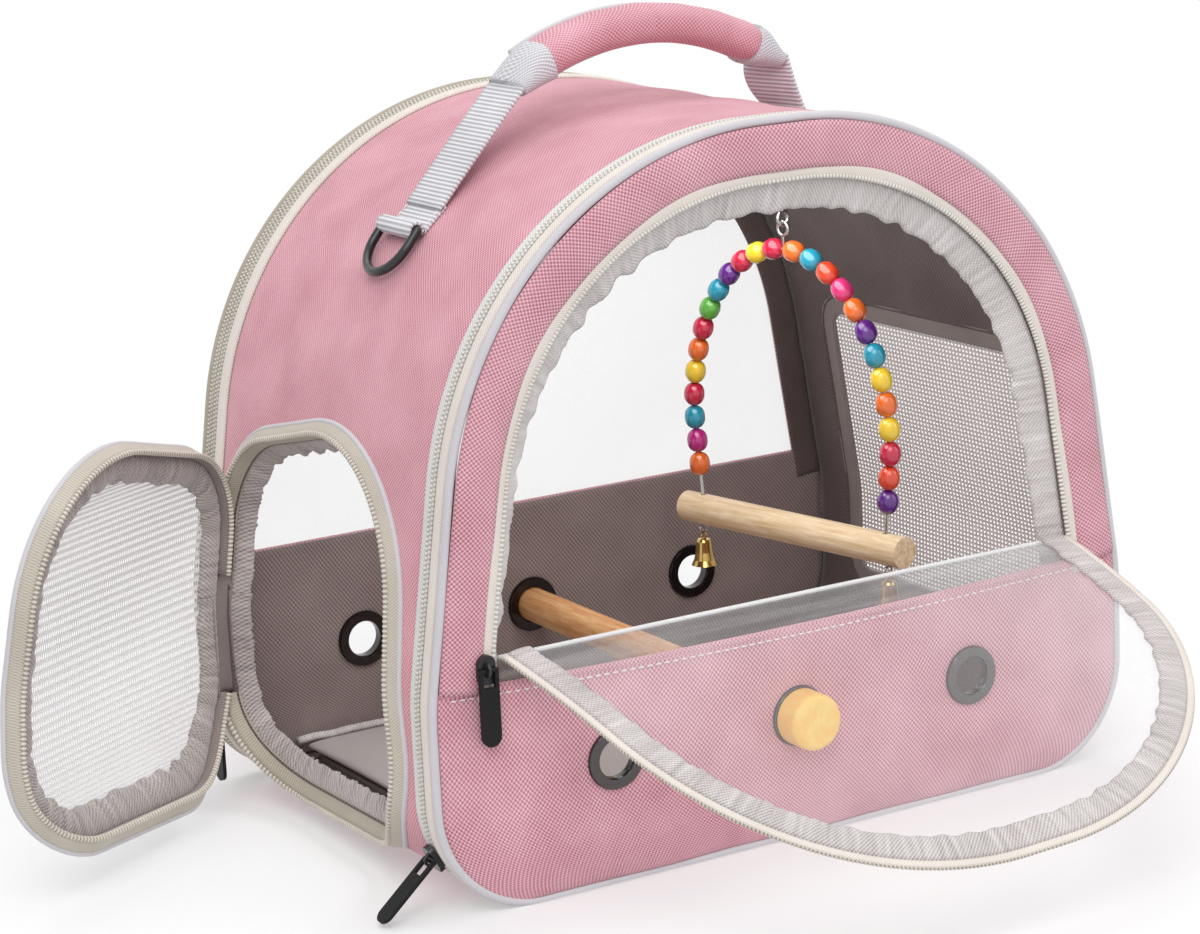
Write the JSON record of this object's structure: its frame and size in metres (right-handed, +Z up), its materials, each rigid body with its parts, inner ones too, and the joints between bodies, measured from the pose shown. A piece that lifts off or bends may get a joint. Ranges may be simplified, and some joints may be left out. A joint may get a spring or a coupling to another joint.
{
  "type": "bird travel carrier",
  "caption": "Soft arched travel carrier for a small bird, with a zipped clear front window, a zipped mesh side door, a perch, a beaded swing and a padded handle.",
  "frame": {"origin": "centre of the base, on the surface it stands on", "axes": "+X towards the side with the fixed mesh window, -Y out of the front window, +Z up"},
  "size_m": [0.4934, 0.3983, 0.3451],
  "materials": {
    "pink_fabric": "matte",
    "lining": "matte",
    "grey_binding": "matte",
    "webbing": "matte",
    "zip_fabric": "matte",
    "mesh": "matte",
    "pad": "matte",
    "clear_film": "glossy",
    "board": "matte",
    "black_metal": "glossy",
    "grommet_metal": "glossy",
    "wire": "satin",
    "wood": "satin",
    "beads": "glossy",
    "bell_brass": "glossy"
  },
  "bodies": {
    "shell": {"band_fabric": "pink_fabric", "band_lining": "lining", "base_board": "board", "front_arch": "pink_fabric", "front_panel": "pink_fabric", "front_piping": "grey_binding", "front_rim_zip": "zip_fabric", "rear_arch": "pink_fabric", "rear_window": "clear_film", "rear_panel": "pink_fabric", "rear_lining": "lining", "rear_rim_zip": "zip_fabric", "window_zip": "zip_fabric", "window_binding": "grey_binding", "film_fold": "clear_film", "door_frame_zip": "zip_fabric", "hinge_strip": "zip_fabric", "mesh_window": "mesh", "mesh_binding": "lining", "front_grommets": "grommet_metal", "rear_grommets": "grommet_metal", "left_strap": "webbing", "right_strap": "webbing", "left_web": "webbing", "right_web": "webbing", "swing_ring": "wire"},
    "floor_pad": {"floor_pad": "pad"},
    "flap": {"flap_film": "clear_film", "flap_binding": "grey_binding", "flap_zip": "zip_fabric"},
    "side_door": {"door_mesh": "mesh", "door_binding": "grey_binding", "door_zip": "zip_fabric"},
    "window_slider": {"window_slider": "black_metal"},
    "window_pull": {"window_pull": "black_metal"},
    "door_slider": {"door_slider": "black_metal"},
    "door_pull": {"door_pull": "black_metal"},
    "front_rim_slider": {"front_rim_slider": "black_metal"},
    "front_rim_pull": {"front_rim_pull": "black_metal"},
    "rear_rim_slider": {"rear_rim_slider": "black_metal"},
    "rear_rim_pull": {"rear_rim_pull": "black_metal"},
    "handle": {"handle_grip": "pink_fabric", "handle_sleeves": "webbing"},
    "left_ring": {"left_d_ring": "black_metal"},
    "right_ring": {"right_d_ring": "black_metal"},
    "perch": {"perch_dowel": "wood", "perch_studs": "wire"},
    "front_knob": {"front_knob": "wood"},
    "rear_knob": {"rear_knob": "wood"},
    "swing_hook": {"swing_hook": "wire"},
    "swing": {"swing_wire": "wire", "swing_beads": "beads", "swing_dowel": "wood", "swing_eyes": "wire"},
    "front_bell": {"front_bell": "bell_brass"},
    "rear_bell": {"rear_bell": "bell_brass"},
    "front_clapper": {"front_clapper": "bell_brass"},
    "rear_clapper": {"rear_clapper": "bell_brass"}
  },
  "joints": [
    {"name": "flap_hinge", "type": "hinge", "parent": "shell", "child": "flap", "pos_m": [0, -0.1128, 0.104], "axis": [1, 0, 0], "range_deg": [-112, 10]},
    {"name": "side_door_hinge", "type": "hinge", "parent": "shell", "child": "side_door", "pos_m": [-0.1704, 0.08, 0.052], "axis": [0.0421, 0, 0.9991], "range_deg": [-34, 56]},
    {"name": "window_slider_slide", "type": "slide", "parent": "shell", "child": "window_slider", "axis": [0, 0, 1], "range_m": [0, 0.012]},
    {"name": "window_pull_hinge", "type": "hinge", "parent": "window_slider", "child": "window_pull", "pos_m": [-0.14678, -0.11625, 0.101], "axis": [1, 0, 0], "range_deg": [-150, 0]},
    {"name": "door_slider_slide", "type": "slide", "parent": "shell", "child": "door_slider", "axis": [0, 0, 1], "range_m": [0, 0.01]},
    {"name": "door_pull_hinge", "type": "hinge", "parent": "door_slider", "child": "door_pull", "pos_m": [-0.17425, 0.0862, 0.039], "axis": [0, 1, 0], "range_deg": [0, 140]},
    {"name": "front_rim_slider_travel", "type": "hinge", "parent": "shell", "child": "front_rim_slider", "pos_m": [-0.124, -0.0979, 0.046], "axis": [0, 1, 0], "range_deg": [0, 20]},
    {"name": "front_rim_pull_hinge", "type": "hinge", "parent": "front_rim_slider", "child": "front_rim_pull", "pos_m": [-0.16837, -0.0979, 0.02241], "axis": [0, 1, 0], "range_deg": [0, 95]},
    {"name": "rear_rim_slider_travel", "type": "hinge", "parent": "shell", "child": "rear_rim_slider", "pos_m": [0.124, 0.1045, 0.046], "axis": [0, -1, 0], "range_deg": [0, 20]},
    {"name": "rear_rim_pull_hinge", "type": "hinge", "parent": "rear_rim_slider", "child": "rear_rim_pull", "pos_m": [0.16837, 0.1045, 0.02241], "axis": [0, -1, 0], "range_deg": [0, 95]},
    {"name": "handle_tilt", "type": "hinge", "parent": "shell", "child": "handle", "pos_m": [0, -0.008, 0.2766], "axis": [1, 0, 0], "range_deg": [-40, 40], "deforming": ["left_web", "right_web"]},
    {"name": "left_ring_hinge", "type": "hinge", "parent": "shell", "child": "left_ring", "pos_m": [-0.11821, -0.008, 0.25921], "axis": [0, 1, 0], "range_deg": [0, 150]},
    {"name": "right_ring_hinge", "type": "hinge", "parent": "shell", "child": "right_ring", "pos_m": [0.11821, -0.008, 0.25921], "axis": [0, -1, 0], "range_deg": [0, 150]},
    {"name": "perch_spin", "type": "hinge", "parent": "shell", "child": "perch", "pos_m": [0, 0, 0.052], "axis": [0, 1, 0], "continuous": true},
    {"name": "front_knob_unscrew", "type": "hinge", "parent": "perch", "child": "front_knob", "pos_m": [0, -0.118, 0.052], "axis": [0, 1, 0], "continuous": true},
    {"name": "rear_knob_unscrew", "type": "hinge", "parent": "perch", "child": "rear_knob", "pos_m": [0, 0.118, 0.052], "axis": [0, 1, 0], "continuous": true},
    {"name": "hook_sway", "type": "hinge", "parent": "shell", "child": "swing_hook", "pos_m": [0.065, -0.0155, 0.2735], "axis": [0.1874, -0.9823, 0], "range_deg": [-10, 10]},
    {"name": "swing_rock", "type": "hinge", "parent": "swing_hook", "child": "swing", "pos_m": [0.065, -0.0155, 0.2385], "axis": [0.9823, 0.1874, 0], "range_deg": [-6, 6]},
    {"name": "front_bell_swing", "type": "hinge", "parent": "swing", "child": "front_bell", "pos_m": [0.07587, -0.07247, 0.0904], "axis": [0.9823, 0.1874, 0], "range_deg": [-20, 20]},
    {"name": "rear_bell_swing", "type": "hinge", "parent": "swing", "child": "rear_bell", "pos_m": [0.05413, 0.04147, 0.0904], "axis": [0.9823, 0.1874, 0], "range_deg": [-20, 20]},
    {"name": "front_clapper_swing", "type": "hinge", "parent": "front_bell", "child": "front_clapper", "pos_m": [0.07587, -0.07247, 0.08605], "axis": [0.9823, 0.1874, 0], "range_deg": [-10, 10]},
    {"name": "rear_clapper_swing", "type": "hinge", "parent": "rear_bell", "child": "rear_clapper", "pos_m": [0.05413, 0.04147, 0.08605], "axis": [0.9823, 0.1874, 0], "range_deg": [-10, 10]},
    {"name": "floor_pad_lift", "type": "slide", "parent": "shell", "child": "floor_pad", "axis": [0, 0, 1], "range_m": [0, 0.025]}
  ]
}
